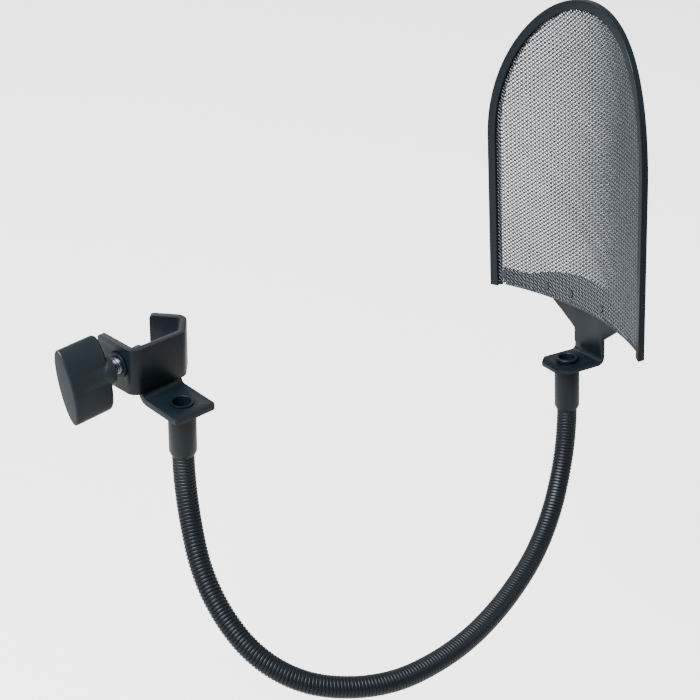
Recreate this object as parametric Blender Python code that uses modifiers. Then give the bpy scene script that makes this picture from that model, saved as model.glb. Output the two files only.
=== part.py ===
"""Pop filter: a curved steel mesh shield on a gooseneck, held to a stand's tube by a screw clamp.

Metres, +Z up. The origin is the middle of the tube that the clamp grips, at half the bar's height.
The clamping screw runs along +X (turned a little with the sprung leg), and the tab that carries the
gooseneck points to -Y. Each end of the gooseneck has its own frame: +Z from the gooseneck to the tab,
origin at the centre of the tab's face.
"""

from math import asin, cos, pi, radians, sin, sqrt, tan

import bmesh
import bpy
from mathutils import Matrix, Vector

GAP = 0.0003  # kept between pieces that touch
HAIR = 0.00004  # keeps the faces of two joined shapes from falling in one plane

# Clamp: a flat bar bent round the tube
TUBE_RADIUS = 0.0080
TUBE_CLEARANCE = 0.0003  # between the tube and the web
BAR_HEIGHT = 0.0220
BAR_THICKNESS = 0.0030
BEND_RADIUS = 0.0020  # inside of a bend
SEAT_HALF_ANGLE = radians(48)
SEAT_FAR_WALL = 0.0165
LEG_LENGTH = 0.0229
BAR_CORNER = 0.0015
LEG_SPLAY = radians(4)

# Tab below the web
TAB_WIDTH = 0.0212
TAB_OFFSET = 0.0044  # from the leg's side of the web
TAB_REACH = 0.0233
TAB_DROP = 0.0021  # from the bar's lower edge to the tab's upper face
TAB_CORNER = 0.0012
TAB_OVERLAP = 0.0030  # how far the tab's bent end is modelled up into the web
RIVET_FROM_EDGE = 0.0100

# Clamping screw, along its own axis: 0 at the tube's middle, negative towards the knob
SCREW_RADIUS = 0.0037
SCREW_TIP_RADIUS = 0.0025
SCREW_TIP_LENGTH = 0.0026
THREAD_CLEARANCE = 0.00035
NUT_WALL = 0.00075  # of the part that sits in the leg
NUT_RIM = 0.0012
NUT_COLLAR = 0.0010
NUT_LIP = 0.0008
NUT_LIP_RIM = 0.0004
SCREW_HEIGHT = 0.0015  # above the middle of the bar
KNOB_HALF_LENGTH = 0.0170  # of its oval front
KNOB_HALF_WIDTH = 0.0050
KNOB_BACK_HALF_WIDTH = 0.0058
KNOB_LENGTH = 0.0203
KNOB_FRONT_EDGE = 0.0010
KNOB_BACK_EDGE = 0.0025
KNOB_LEAN = radians(16)  # how its oval happens to stand, from upright towards +Y
HUB_RADIUS = 0.0072
HUB_LENGTH = 0.0019  # behind the oval
HUB_TAPER = 0.0080  # length over which it swells out of the oval
HUB_STANDOFF = 0.0060  # from the leg to the hub
HEAD_FLATS = 0.0078
HEAD_HEIGHT = 0.0140
HEAD_CLEARANCE = 0.0004
PAD_RADIUS = 0.0042
PAD_LENGTH = 0.0040
PAD_WALL = 0.0014
PAD_FROM_TUBE = 0.0030  # the clamp stands open
PAD_BACK_ROOM = 0.0047  # how far the pad can still go back

# Rivets and sleeves at both ends of the gooseneck
FERRULE_WALL = 0.0009
FERRULE_LENGTH = 0.0222
FERRULE_CHAMFER = 0.0014
RIVET_RADIUS = 0.0046
RIVET_WALL = 0.0005
RIVET_GRIP = 0.0025  # how far the rivet reaches into the sleeve
CLAMP_RIVET_FLANGE = 0.0006  # beyond the rivet's own radius
CLAMP_RIVET_HEIGHT = 0.0008
SHIELD_RIVET_FLANGE = 0.0011
SHIELD_RIVET_HEIGHT = 0.0020
WASHER_OVERHANG = 0.0002
WASHER_THICKNESS = 0.0007

# Gooseneck: equal stretches, each bent in two directions
NECK_RADIUS = 0.0050
NECK_LENGTH = 0.3614
NECK_GRIP = 0.0170  # length held in each sleeve
NECK_PLANE = radians(102.2)  # heading of the bend plane, from +Y towards +X
NECK_BENDS = (-4.5, 22.1, 45.8, 29.3, 14.9, 12.9, 24.3, 28.1)
NECK_SIDE_BENDS = (36.6, 18.2, -0.7, -7.3, -5.1, 6.6, 17.6, 31.2)
NECK_SOCKET_CLEARANCE = 0.0006
NECK_SIDES = 12

# Shield
SHIELD_TURN = radians(103)  # about the gooseneck's end
PLATE_RADIUS = 0.1500
SHEET_THICKNESS = 0.0020
STEM_WIDTH = 0.0220
STEM_OFFSET = 0.0005
STEM_HEIGHT = 0.0112
STEM_FROM_RIVET = 0.0124
SHIELD_TAB_REACH = 0.0115  # from the rivet to the tab's free end
SHIELD_TAB_CHAMFER = 0.0050
SHIELD_TAB_CORNER = 0.0020
FAN_HALF_WIDTH = 0.0415
FAN_CORNER = 0.0320
FAN_TOP = 0.0392
WIRE_LAYER = 0.0008
MESH_BOTTOM = 0.0240
HEM_HEIGHT = 0.0085
RIM_HALF_WIDTH = 0.0640
RIM_SPRING = 0.1026  # where the straight sides end
RIM_RISE = 0.0734
RIM_FACE = 0.0046
RIM_WALL = 0.0010
RIM_TAIL = 0.0015
MARGIN = 0.0040  # how far a sheet is made past the outline it is cut to
CUT_DEPTH = 0.1200  # of the plates that cut the curved sheets

# Derived sizes
MESH_RADIUS = PLATE_RADIUS - GAP - WIRE_LAYER - GAP - WIRE_LAYER / 2
NECK_STRETCH = NECK_LENGTH / len(NECK_BENDS)
NECK_BORE = NECK_RADIUS + GAP
RIVET_HOLE = RIVET_RADIUS + GAP
FERRULE_RADIUS = NECK_BORE + FERRULE_WALL
NUT_SPIGOT = SCREW_RADIUS + THREAD_CLEARANCE + NUT_WALL
NUT_RADIUS = NUT_SPIGOT + NUT_RIM
PAD_BACK = -TUBE_RADIUS - PAD_FROM_TUBE - PAD_LENGTH
LEG_FACE = PAD_BACK - PAD_BACK_ROOM - NUT_LIP - 2 * GAP - BAR_THICKNESS  # outer face, on the screw's axis
NUT_LIP_RADIUS = NUT_SPIGOT + NUT_LIP_RIM
BEND_FOOT = BEND_RADIUS - sqrt(GAP * (2 * BEND_RADIUS - GAP))  # where a bend rises by the gap
NUT_ROOM = NUT_LIP_RADIUS + BEND_FOOT - LEG_FACE * sin(LEG_SPLAY)
WEB_FROM_TUBE = max(TUBE_RADIUS + TUBE_CLEARANCE, NUT_ROOM) + BAR_THICKNESS  # to the web's outer face
RIM_TOP = RIM_SPRING + RIM_RISE


def collection(name):
    made = bpy.data.collections.new(name)
    bpy.context.scene.collection.children.link(made)
    return made


def material(name, srgb, roughness, metallic=0.0):
    made = bpy.data.materials.new(name)
    made.use_nodes = True
    shader = made.node_tree.nodes["Principled BSDF"]
    shader.inputs["Base Color"].default_value = [(c / 255) ** 2.2 for c in srgb] + [1.0]
    shader.inputs["Roughness"].default_value = roughness
    shader.inputs["Metallic"].default_value = metallic
    return made


def frame(name, matrix):
    """An empty that carries the pieces of one end, or of one axis."""
    empty = bpy.data.objects.new(name, None)
    empty.matrix_world = matrix
    parts.objects.link(empty)
    return empty


def add_object(name, mesh, parent, finish, place=Matrix()):
    obj = bpy.data.objects.new(name, mesh)
    obj.parent = parent
    obj.matrix_local = place
    if finish is None:
        cutters.objects.link(obj)
        obj.hide_render = True
        obj.display_type = "WIRE"
    else:
        parts.objects.link(obj)
        mesh.materials.append(finish)
        mesh.shade_smooth()
        mesh.set_sharp_from_angle(angle=radians(35))
    return obj


def boolean(obj, other, operation):
    modifier = obj.modifiers.new(operation.title() + " " + other.name, "BOOLEAN")
    modifier.operation = operation
    modifier.object = other
    modifier.solver = "EXACT"


def mesh_of_curve(curve, name):
    """The evaluated curve as a mesh with its caps joined to its sides."""
    holder = bpy.data.objects.new(name + "_curve", curve)
    bpy.context.scene.collection.objects.link(holder)
    evaluated = holder.evaluated_get(bpy.context.evaluated_depsgraph_get())
    mesh = bpy.data.meshes.new_from_object(evaluated)
    mesh.name = name
    bpy.data.objects.remove(holder)
    welded = bmesh.new()
    welded.from_mesh(mesh)
    bmesh.ops.remove_doubles(welded, verts=welded.verts, dist=1e-6)
    bmesh.ops.recalc_face_normals(welded, faces=welded.faces)
    welded.to_mesh(mesh)
    welded.free()
    return mesh


def plate(name, outline, thickness, parent, finish, place=Matrix()):
    """A flat outline in local XY, half its thickness to each side of it."""
    curve = bpy.data.curves.new(name, "CURVE")
    curve.dimensions = "2D"
    curve.fill_mode = "BOTH"
    curve.extrude = thickness / 2
    spline = curve.splines.new("POLY")
    spline.points.add(len(outline) - 1)
    for point, (x, y) in zip(spline.points, outline):
        point.co = (x, y, 0.0, 1.0)
    spline.use_cyclic_u = True
    return add_object(name, mesh_of_curve(curve, name), parent, finish, place)


def turned(name, profile, parent, finish, steps=24, closed=False):
    """A profile of (radius, height) points turned about local Z, its outer side listed from top to bottom."""
    mesh = bpy.data.meshes.new(name)
    ends = [(i, i + 1) for i in range(len(profile) - 1)]
    if closed:
        ends.append((len(profile) - 1, 0))
    mesh.from_pydata([(r, 0.0, z) for r, z in profile], ends, [])
    obj = add_object(name, mesh, parent, finish)
    screw = obj.modifiers.new("Turn", "SCREW")
    screw.steps = screw.render_steps = steps
    screw.use_merge_vertices = True
    screw.merge_threshold = 1e-6
    return obj


def rod(name, radius, low, high, parent, finish, sides=24, place=Matrix()):
    mesh = bpy.data.meshes.new(name)
    made = bmesh.new()
    bmesh.ops.create_cone(
        made, cap_ends=True, segments=sides, radius1=radius, radius2=radius, depth=high - low
    )
    bmesh.ops.translate(made, verts=made.verts, vec=(0, 0, (low + high) / 2))
    made.to_mesh(mesh)
    made.free()
    return add_object(name, mesh, parent, finish, place)


def oval_body(name, sections, parent, finish, place, sides=32):
    """A closed body through ovals across local Z, each given as (half width, half length, height)."""
    made = bmesh.new()
    rings = []
    for wide, long, height in sections:
        angles = [2 * pi * i / sides for i in range(sides)]
        rings.append([made.verts.new((wide * cos(a), long * sin(a), height)) for a in angles])
    for low, high in zip(rings, rings[1:]):
        for i in range(sides):
            j = (i + 1) % sides
            made.faces.new((low[i], low[j], high[j], high[i]))
    made.faces.new(rings[0])
    made.faces.new(rings[-1])
    bmesh.ops.recalc_face_normals(made, faces=made.faces)
    mesh = bpy.data.meshes.new(name)
    made.to_mesh(mesh)
    made.free()
    return add_object(name, mesh, parent, finish, place)


def ball(name, radius, parent, finish, place=Matrix()):
    mesh = bpy.data.meshes.new(name)
    made = bmesh.new()
    bmesh.ops.create_uvsphere(made, u_segments=NECK_SIDES, v_segments=NECK_SIDES // 2, radius=radius)
    made.to_mesh(mesh)
    made.free()
    return add_object(name, mesh, parent, finish, place)


def offset_path(path, distance):
    """The same open path moved to its left."""
    points = [Vector(p) for p in path]
    along = [(b - a).normalized() for a, b in zip(points, points[1:])]
    left = [Vector((-d.y, d.x)) for d in along]
    moved = [points[0] + left[0] * distance]
    for point, before, after in zip(points[1:-1], left, left[1:]):
        moved.append(point + (before + after) * distance / (1 + before.dot(after)))
    return moved + [points[-1] + left[-1] * distance]


def rounded_path(path, radius_left, radius_right, steps=5):
    """An open path with an arc at each inner corner, of one radius to the left and another to the right."""
    points = [Vector(p) for p in path]
    made = [points[0]]
    for before, corner, after in zip(points, points[1:], points[2:]):
        come, go = (corner - before).normalized(), (after - corner).normalized()
        turn = come.angle_signed(go)  # clockwise is positive
        radius = radius_right if turn > 0 else radius_left
        reach = radius * tan(abs(turn) / 2)
        start, side = corner - come * reach, Vector((come.y, -come.x)) * (1 if turn > 0 else -1)
        for i in range(steps + 1):
            angle = abs(turn) * i / steps
            made.append(start + come * radius * sin(angle) + side * radius * (1 - cos(angle)))
    return made + [points[-1]]


def bent_strip(path, thickness):
    """Outline of a bent strip whose one face follows the path and whose other face is to the path's left."""
    wide = BEND_RADIUS + thickness
    face = rounded_path(path, wide, BEND_RADIUS)
    back = rounded_path(offset_path(path, thickness), BEND_RADIUS, wide)
    return face + back[::-1]


def bar_path():
    """Plan of the bar's outer face, from the leg's end round to the end of the V seat."""
    point = Vector(((TUBE_RADIUS + BAR_THICKNESS) / sin(SEAT_HALF_ANGLE), 0.0))
    web_end = Vector((point.x - WEB_FROM_TUBE / tan(SEAT_HALF_ANGLE), -WEB_FROM_TUBE))
    web_start = Vector(((LEG_FACE + WEB_FROM_TUBE * sin(LEG_SPLAY)) / cos(LEG_SPLAY), -WEB_FROM_TUBE))
    leg_end = web_start + Vector((-sin(LEG_SPLAY), cos(LEG_SPLAY))) * LEG_LENGTH
    seat_end = point + Vector((-cos(SEAT_HALF_ANGLE), sin(SEAT_HALF_ANGLE))) * SEAT_FAR_WALL
    return [leg_end, web_start, web_end, point, seat_end]


def clamp_end_place():
    """Centre of the tab's upper face, where the rivet is."""
    web_start = bar_path()[1]
    x = web_start.x + TAB_OFFSET + TAB_WIDTH / 2
    y = web_start.y - TAB_REACH + RIVET_FROM_EDGE
    return Matrix.Translation((x, y, -BAR_HEIGHT / 2 - TAB_DROP))


def end_cutter(name, tip, out, steps=4):
    """Rounds both corners of the bar's end, whose outer face ends at the tip and points out."""
    high, low = BAR_HEIGHT / 2, BAR_HEIGHT / 2 - BAR_CORNER
    turns = [pi / 2 * i / steps for i in range(steps + 1)]
    upper = [(-BAR_CORNER, high + MARGIN)]
    upper += [(BAR_CORNER * (sin(t) - 1), low + BAR_CORNER * cos(t)) for t in turns]
    upper += [(MARGIN / 2, low)]
    lower = [(x, -y) for x, y in upper[::-1]]
    outline = upper + lower + [(MARGIN, -high - MARGIN), (MARGIN, high + MARGIN)]
    place = Matrix(((out.x, 0, out.y, tip.x), (out.y, 0, -out.x, tip.y), (0, 1, 0, 0), (0, 0, 0, 1)))
    return plate(name, outline, 4 * BAR_THICKNESS, None, None, place)


def make_clamp_bracket(axis, end):
    leg_end, web_start, _, point, seat_end = bar_path()
    bracket = plate("clamp_bracket", bent_strip(bar_path(), BAR_THICKNESS), BAR_HEIGHT, None, powder_coat)
    tab_top = -BAR_HEIGHT / 2 - TAB_DROP
    front = web_start.y - TAB_REACH
    face = web_start.y + HAIR
    profile = bent_strip(
        [(face, TAB_OVERLAP - BAR_HEIGHT / 2), (face, tab_top), (front, tab_top)], BAR_THICKNESS - 2 * HAIR
    )
    sideways = Matrix(((0, 0, 1, end.matrix_world.translation.x), (1, 0, 0, 0), (0, 1, 0, 0), (0, 0, 0, 1)))
    tab = plate("cut_tab", profile, TAB_WIDTH, None, None, sideways)
    low, high = web_start.x + TAB_OFFSET, web_start.x + TAB_OFFSET + TAB_WIDTH
    back = web_start.y + 2 * BAR_THICKNESS
    corners = rounded_path([(low, back), (low, front), (high, front), (high, back)], TAB_CORNER, TAB_CORNER)
    trim = plate("cut_tab_corners", corners, 2 * BAR_HEIGHT, None, None)
    boolean(tab, trim, "INTERSECT")
    boolean(bracket, tab, "UNION")
    low, high = LEG_FACE - BAR_THICKNESS, LEG_FACE + 2 * BAR_THICKNESS
    boolean(bracket, rod("cut_nut_hole", NUT_SPIGOT + GAP, low, high, axis, None), "DIFFERENCE")
    low, high = -2 * BAR_THICKNESS, BAR_THICKNESS
    boolean(bracket, rod("cut_clamp_rivet", RIVET_HOLE, low, high, end, None), "DIFFERENCE")
    boolean(bracket, end_cutter("cut_leg_end", leg_end, (leg_end - web_start).normalized()), "DIFFERENCE")
    boolean(bracket, end_cutter("cut_seat_end", seat_end, (seat_end - point).normalized()), "DIFFERENCE")


def knob_place():
    """Turn of the knob about the screw's axis, with the oval's long way along local Y."""
    return Matrix.Rotation(pi / 2 - KNOB_LEAN, 4, "Z")


def make_knob(axis, hub_back, head_corner, steps=4):
    """The oval knob and its round hub, with the pocket for the screw's hexagon end. Returns the hub's back."""
    back = hub_back - HUB_LENGTH
    front = back - KNOB_LENGTH
    turns = [pi / 2 * i / steps for i in range(steps + 1)]
    edge = [(KNOB_FRONT_EDGE * (1 - sin(a)), front + KNOB_FRONT_EDGE * (1 - cos(a))) for a in turns]
    edge += [(KNOB_BACK_EDGE * (1 - cos(a)), back - KNOB_BACK_EDGE * (1 - sin(a))) for a in turns]
    sections = []
    for inset, height in edge:
        draft = (KNOB_BACK_HALF_WIDTH - KNOB_HALF_WIDTH) * (height - front) / KNOB_LENGTH
        sections.append((KNOB_HALF_WIDTH + draft - inset, KNOB_HALF_LENGTH - inset, height))
    knob = oval_body("clamp_knob", sections, axis, moulded_plastic, knob_place())
    hub_profile = [
        (0, hub_back),
        (HUB_RADIUS, hub_back),
        (HUB_RADIUS, back),
        (KNOB_HALF_WIDTH - GAP, back - HUB_TAPER),
        (0, back - HUB_TAPER),
    ]
    hub = turned("cut_knob_hub", hub_profile, axis, None, steps=36)
    boolean(knob, hub, "UNION")
    wider, deeper = head_corner + HEAD_CLEARANCE / cos(pi / 6), hub_back - HEAD_HEIGHT - 2 * GAP
    pocket = rod("cut_head_pocket", wider, deeper, hub_back + GAP, axis, None, 6, knob_place())
    boolean(knob, pocket, "DIFFERENCE")
    return hub_back


def make_screw_parts(axis):
    face, inner = LEG_FACE, LEG_FACE + BAR_THICKNESS
    bore = SCREW_RADIUS + THREAD_CLEARANCE
    turned(
        "clamp_nut",
        [
            (bore, inner + GAP + NUT_LIP),
            (NUT_LIP_RADIUS, inner + GAP + NUT_LIP),
            (NUT_LIP_RADIUS, inner + GAP),
            (NUT_SPIGOT, inner + GAP),
            (NUT_SPIGOT, face - GAP),
            (NUT_RADIUS, face - GAP),
            (NUT_RADIUS, face - GAP - NUT_COLLAR),
            (bore, face - GAP - NUT_COLLAR),
        ],
        axis,
        zinc_plate,
        closed=True,
    )
    corner = HEAD_FLATS / 2 / cos(pi / 6)
    back = make_knob(axis, face - HUB_STANDOFF, corner)
    tip = PAD_BACK + PAD_LENGTH
    shank_end = PAD_BACK - GAP
    head_top = back - GAP
    screw = turned(
        "clamp_screw",
        [
            (0, shank_end + SCREW_TIP_LENGTH),
            (SCREW_TIP_RADIUS, shank_end + SCREW_TIP_LENGTH),
            (SCREW_TIP_RADIUS, shank_end),
            (SCREW_RADIUS, shank_end),
            (SCREW_RADIUS, head_top - HEAD_HEIGHT / 2),
            (0, head_top - HEAD_HEIGHT / 2),
        ],
        axis,
        zinc_plate,
    )
    head = rod("cut_screw_head", corner, head_top - HEAD_HEIGHT, head_top, axis, None, 6, knob_place())
    boolean(screw, head, "UNION")
    socket = SCREW_TIP_RADIUS + GAP
    turned(
        "pressure_pad",
        [
            (0, tip),
            (PAD_RADIUS - GAP, tip),
            (PAD_RADIUS, tip - GAP),
            (PAD_RADIUS, PAD_BACK),
            (socket, PAD_BACK),
            (socket, tip - PAD_WALL),
            (0, tip - PAD_WALL),
        ],
        axis,
        moulded_plastic,
    )


def make_rivet(name, end, flange, height, depth):
    bore = RIVET_RADIUS - RIVET_WALL
    edge = RIVET_RADIUS + flange
    turned(
        name,
        [
            (bore + RIVET_WALL, height),
            (edge - GAP, height),
            (edge, height - GAP),
            (edge, GAP),
            (RIVET_RADIUS, GAP),
            (RIVET_RADIUS, -depth),
            (bore, -depth),
            (bore, height - RIVET_WALL),
        ],
        end,
        powder_coat,
        closed=True,
    )


def make_ferrule(name, end, top):
    bottom = top - FERRULE_LENGTH
    shoulder = bottom + NECK_GRIP + GAP
    turned(
        name,
        [
            (RIVET_HOLE, top),
            (FERRULE_RADIUS - GAP, top),
            (FERRULE_RADIUS, top - GAP),
            (FERRULE_RADIUS, bottom + FERRULE_CHAMFER),
            (NECK_BORE + GAP, bottom),
            (NECK_BORE, bottom),
            (NECK_BORE, shoulder),
            (RIVET_HOLE, shoulder),
        ],
        end,
        powder_coat,
        closed=True,
    )


def arc_frame(bends, share=1.0):
    """Frame on an arc that leaves the origin along +Z and bends towards +X and +Y by the two angles."""
    toward = Vector((radians(bends[0]), radians(bends[1]), 0.0)) * share
    angle = toward.length
    if angle < 1e-9:
        return Matrix.Translation((0, 0, NECK_STRETCH * share))
    up = Vector((0, 0, 1))
    toward.normalize()
    radius = NECK_STRETCH * share / angle
    place = toward * (1 - cos(angle)) * radius + up * sin(angle) * radius
    return Matrix.Translation(place) @ Matrix.Rotation(angle, 4, up.cross(toward))


def neck_frames(end):
    """Frames along the gooseneck, +Z along it: its start, the joints between stretches, and its end."""
    heading = Matrix.Rotation(pi / 2 - NECK_PLANE, 4, "Z") @ Matrix.Rotation(pi, 4, "X")
    depth = BAR_THICKNESS + GAP + FERRULE_LENGTH
    frames = [end @ Matrix.Translation((0, 0, -depth)) @ heading]
    for bends in zip(NECK_BENDS, NECK_SIDE_BENDS):
        frames.append(frames[-1] @ arc_frame(bends))
    return frames


def make_gooseneck(frames, steps=6):
    """Each stretch ends in a ball at its joint, and the next one starts with the socket round it."""
    last = len(NECK_BENDS) - 1
    for i, bends in enumerate(zip(NECK_BENDS, NECK_SIDE_BENDS)):
        name = f"gooseneck_{i + 1}"
        start = frame(f"joint_{i}" if i else "neck_start", frames[i])
        route = [arc_frame(bends, share / steps) for share in range(1, steps + 1)]
        points = [Vector((0, 0, -NECK_GRIP if i == 0 else 0))]
        if i == 0:
            points.append(Vector())
        points += [step.translation for step in route]
        if i == last:
            points.append(route[-1] @ Vector((0, 0, NECK_GRIP)))
        curve = bpy.data.curves.new(name, "CURVE")
        curve.dimensions = "3D"
        curve.bevel_depth = NECK_RADIUS
        curve.bevel_resolution = NECK_SIDES // 2 - 2
        curve.use_fill_caps = True
        spline = curve.splines.new("POLY")
        spline.points.add(len(points) - 1)
        for point, place in zip(spline.points, points):
            point.co = (*place, 1.0)
        stretch = add_object(name, mesh_of_curve(curve, name), start, powder_coat)
        if i < last:
            inside = NECK_RADIUS * cos(pi / NECK_SIDES) - HAIR
            boolean(stretch, ball(f"cut_ball_{i}", inside, start, None, route[-1]), "UNION")
        if i > 0:
            outside = NECK_RADIUS + NECK_SOCKET_CLEARANCE
            boolean(stretch, ball(f"cut_socket_{i}", outside, start, None), "DIFFERENCE")


def on_plan(arc_length):
    """Sideways place of a point that lies this far round the shield's curve."""
    return PLATE_RADIUS * sin(arc_length / PLATE_RADIUS)


def curved_sheet(name, low_radius, high_radius, low, high, end, finish, steps=20):
    """A sector of a tube about the shield's own vertical axis, which is on the rivet's side."""
    reach = (RIM_HALF_WIDTH + MARGIN) / PLATE_RADIUS
    angles = [reach * (2 * i / steps - 1) for i in range(steps + 1)]
    outline = [(low_radius * sin(a), low_radius * cos(a)) for a in angles]
    outline += [(high_radius * sin(a), high_radius * cos(a)) for a in reversed(angles)]
    centre = STEM_FROM_RIVET - PLATE_RADIUS
    place = Matrix.Translation((0, centre, (low + high) / 2))
    return plate(name, outline, high - low, end, finish, place)


def upright(name, outline, end):
    """A thick plate standing across the shield, to cut it to an outline in (sideways, height)."""
    place = Matrix(((1, 0, 0, 0), (0, 0, -1, 0), (0, 1, 0, 0), (0, 0, 0, 1)))
    return plate(name, outline, CUT_DEPTH, end, None, place)


def arch(inset, bottom, steps=20):
    """The shield's outline in (sideways, height), inset from its outer edge, with an elliptical top."""
    side = on_plan(RIM_HALF_WIDTH - inset)
    angles = [pi * i / steps for i in range(steps + 1)]
    top = [(side * cos(a), RIM_SPRING + (RIM_RISE - inset) * sin(a)) for a in angles]
    return [(side, bottom)] + top + [(-side, bottom)]


def make_mesh_screen(end):
    half = WIRE_LAYER / 2
    low, high = MESH_BOTTOM, RIM_TOP + MARGIN
    screen = curved_sheet("mesh_screen", MESH_RADIUS - half, MESH_RADIUS + half, low, high, end, woven_wire)
    boolean(screen, upright("cut_mesh_outline", arch(RIM_WALL + GAP, 0.0), end), "INTERSECT")


def make_mesh_hem(end):
    inner = MESH_RADIUS + WIRE_LAYER / 2 + GAP
    low, high = MESH_BOTTOM, MESH_BOTTOM + HEM_HEIGHT
    hem = curved_sheet("mesh_hem", inner, inner + WIRE_LAYER, low, high, end, woven_wire)
    inset = RIM_FACE + 2 * GAP
    side = on_plan(RIM_HALF_WIDTH - inset)
    between = [(side, 0), (side, RIM_TOP), (-side, RIM_TOP), (-side, 0)]
    boolean(hem, upright("cut_hem_ends", between, end), "INTERSECT")


def make_rim(end):
    groove = WIRE_LAYER / 2 + GAP
    depth = groove + RIM_WALL
    low, high = MESH_BOTTOM - RIM_TAIL, RIM_TOP + MARGIN
    rim = curved_sheet("rim_channel", MESH_RADIUS - depth, MESH_RADIUS + depth, low, high, end, powder_coat)
    slot = curved_sheet("cut_rim_groove", MESH_RADIUS - groove, MESH_RADIUS + groove, 0.0, RIM_TOP, end, None)
    boolean(slot, upright("cut_groove_outline", arch(RIM_WALL, -MARGIN), end), "INTERSECT")
    boolean(rim, upright("cut_rim_outer", arch(0, 0.0), end), "INTERSECT")
    boolean(rim, upright("cut_rim_inner", arch(RIM_FACE, 0.0), end), "DIFFERENCE")
    boolean(rim, slot, "DIFFERENCE")


def fan_outline(steps=12):
    """The plate behind the mesh in (sideways, height): a stem that flares to a sector with an arched top."""
    half, corner = STEM_WIDTH / 2, on_plan(FAN_HALF_WIDTH)
    bulge = FAN_TOP - FAN_CORNER
    radius = (corner**2 + bulge**2) / (2 * bulge)
    spread = asin(corner / radius)
    angles = [spread * (1 - 2 * i / steps) for i in range(steps + 1)]
    top = [(radius * sin(a), FAN_TOP - radius + radius * cos(a)) for a in angles]
    right, left = STEM_OFFSET + half, STEM_OFFSET - half
    low = 2 * SHEET_THICKNESS
    return [(right, low), (right, STEM_HEIGHT)] + top + [(left, STEM_HEIGHT), (left, low)]


def make_shield_bracket(end):
    back, top = PLATE_RADIUS + SHEET_THICKNESS, FAN_TOP + MARGIN
    bracket = curved_sheet("shield_bracket", PLATE_RADIUS, back, 0.0, top, end, powder_coat)
    boolean(bracket, upright("cut_fan_outline", fan_outline(), end), "INTERSECT")
    face = STEM_FROM_RIVET + HAIR
    path = [(face, STEM_HEIGHT - HAIR), (face, 0.0), (-SHIELD_TAB_REACH, 0.0)]
    sideways = Matrix(((0, 0, 1, STEM_OFFSET), (1, 0, 0, 0), (0, 1, 0, 0), (0, 0, 0, 1)))
    strip = bent_strip(path, SHEET_THICKNESS - 2 * HAIR)
    tab = plate("cut_shield_tab", strip, STEM_WIDTH - 2 * HAIR, end, None, sideways)
    half, reach, back = STEM_WIDTH / 2 - HAIR, -SHIELD_TAB_REACH, STEM_FROM_RIVET + 2 * SHEET_THICKNESS
    cut = SHIELD_TAB_CHAMFER
    corners = [
        (STEM_OFFSET - half, back),
        (STEM_OFFSET - half, reach + cut),
        (STEM_OFFSET - half + cut, reach),
        (STEM_OFFSET + half - cut, reach),
        (STEM_OFFSET + half, reach + cut),
        (STEM_OFFSET + half, back),
    ]
    corners = rounded_path(corners, SHIELD_TAB_CORNER, SHIELD_TAB_CORNER)
    trim = plate("cut_shield_corners", corners, CUT_DEPTH, end, None)
    boolean(tab, trim, "INTERSECT")
    boolean(bracket, tab, "UNION")
    low, high = -3 * SHEET_THICKNESS, 2 * SHEET_THICKNESS
    boolean(bracket, rod("cut_shield_rivet", RIVET_HOLE, low, high, end, None), "DIFFERENCE")


def make_washer(end):
    top, edge = -SHEET_THICKNESS - GAP, FERRULE_RADIUS + WASHER_OVERHANG
    turned(
        "shield_washer",
        [
            (RIVET_HOLE, top),
            (edge, top),
            (edge, top - WASHER_THICKNESS),
            (RIVET_HOLE, top - WASHER_THICKNESS),
        ],
        end,
        powder_coat,
        closed=True,
    )


for old in list(bpy.data.objects):
    bpy.data.objects.remove(old)
parts = collection("pop_filter")
cutters = collection("cutters")
powder_coat = material("powder_coat", (38, 46, 54), 0.45, 0.2)
moulded_plastic = material("moulded_plastic", (30, 33, 37), 0.4)
zinc_plate = material("zinc_plate", (120, 124, 130), 0.35, 1.0)
woven_wire = material("woven_wire", (44, 52, 60), 0.4, 0.4)

along_screw = Matrix.Rotation(LEG_SPLAY, 4, "Z") @ Matrix.Rotation(pi / 2, 4, "Y")
screw_axis = frame("screw_axis", Matrix.Translation((0, 0, SCREW_HEIGHT)) @ along_screw)
clamp_end = frame("clamp_end", clamp_end_place())
bpy.context.view_layer.update()
make_clamp_bracket(screw_axis, clamp_end)
make_screw_parts(screw_axis)
make_rivet("clamp_rivet", clamp_end, CLAMP_RIVET_FLANGE, CLAMP_RIVET_HEIGHT, BAR_THICKNESS + GAP + RIVET_GRIP)
make_ferrule("clamp_ferrule", clamp_end, -BAR_THICKNESS - GAP)

joints = neck_frames(clamp_end_place())
make_gooseneck(joints)

stack = SHEET_THICKNESS + GAP + WASHER_THICKNESS + GAP
shield_end = frame(
    "shield_end",
    joints[-1]
    @ Matrix.Translation((0, 0, FERRULE_LENGTH + stack))
    @ Matrix.Rotation(SHIELD_TURN, 4, "Z"),
)
make_ferrule("shield_ferrule", shield_end, -stack)
make_washer(shield_end)
make_rivet("shield_rivet", shield_end, SHIELD_RIVET_FLANGE, SHIELD_RIVET_HEIGHT, stack + RIVET_GRIP)
make_shield_bracket(shield_end)
make_mesh_screen(shield_end)
make_mesh_hem(shield_end)
make_rim(shield_end)
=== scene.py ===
"""Looks of a pop filter: a curved wire-mesh shield on a gooseneck, with a clamp for a stand's tube."""

from math import cos, pi, radians, sin, sqrt, tan

import bmesh
import bpy
from mathutils import Matrix, Vector


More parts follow.
